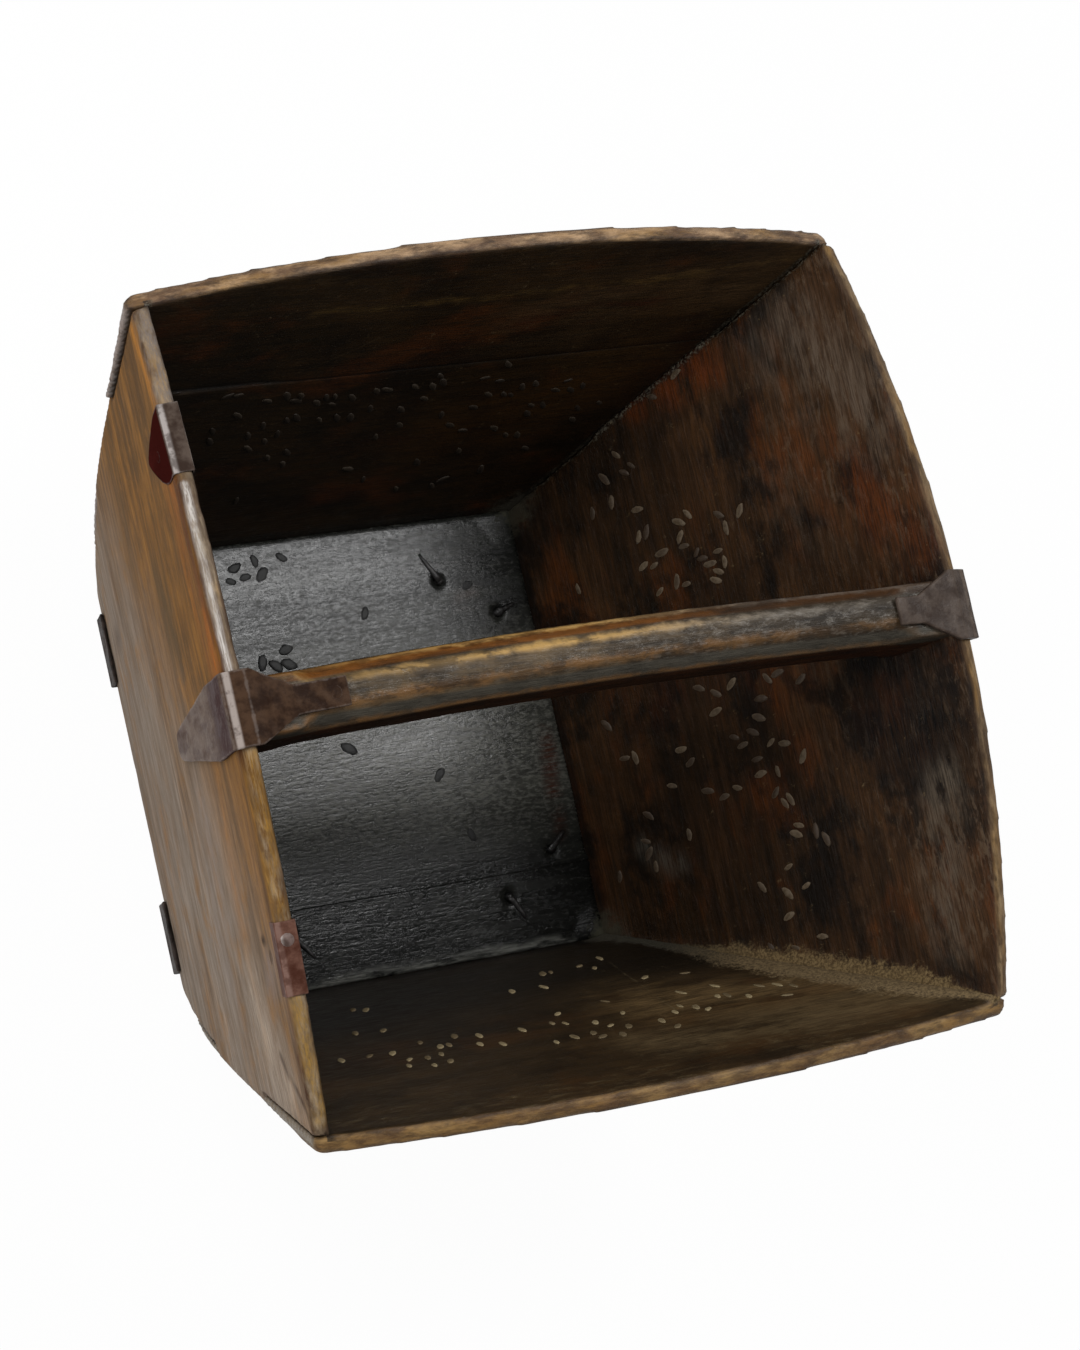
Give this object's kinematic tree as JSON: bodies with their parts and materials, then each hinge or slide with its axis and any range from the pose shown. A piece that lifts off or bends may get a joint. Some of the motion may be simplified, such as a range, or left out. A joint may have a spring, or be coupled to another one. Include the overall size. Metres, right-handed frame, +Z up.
{
  "type": "feed measure",
  "caption": "Flared square wooden box for measuring out grain or feed, with arched rims, a fixed wooden bar handle across the mouth and iron straps.",
  "frame": {"origin": "centre of the object's bounding box at the underside of its two base straps, where it rests", "axes": "+Z up through the open mouth, +X along the handle from the plank with the rim clips to the other, +Y towards the two-board back wall"},
  "size_m": [0.348, 0.3318, 0.2026],
  "materials": {
    "plank_wood": "old worn and grimed, golden where the edges are rubbed",
    "base_wood": "blackened, satin from use",
    "handle_wood": "hand-polished, golden along the arrises",
    "pin_wood": "plain split wood",
    "strap_iron": "forged, brown patina",
    "clip_iron": "forged, rust red",
    "base_iron": "forged, dark and pitted",
    "nail_iron": "forged, dark"
  },
  "bodies": {
    "root": {"left_wall": "plank_wood", "right_wall": "plank_wood", "front_wall": "plank_wood", "back_wall_upper": "plank_wood", "back_wall_lower": "plank_wood", "back_wall_dowels": "pin_wood", "base_board_back": "base_wood", "base_board_front": "base_wood", "base_board_dowels": "pin_wood", "handle": "handle_wood", "handle_strap_left": "strap_iron", "handle_strap_right": "strap_iron", "handle_strap_left_nails": "nail_iron", "handle_strap_right_nails": "nail_iron", "rim_clip_back": "clip_iron", "rim_clip_front": "clip_iron", "rim_clip_back_nails": "nail_iron", "rim_clip_front_nails": "nail_iron", "base_strap_back": "base_iron", "base_strap_front": "base_iron", "base_strap_back_nails": "nail_iron", "base_strap_front_nails": "nail_iron"}
  },
  "joints": []
}
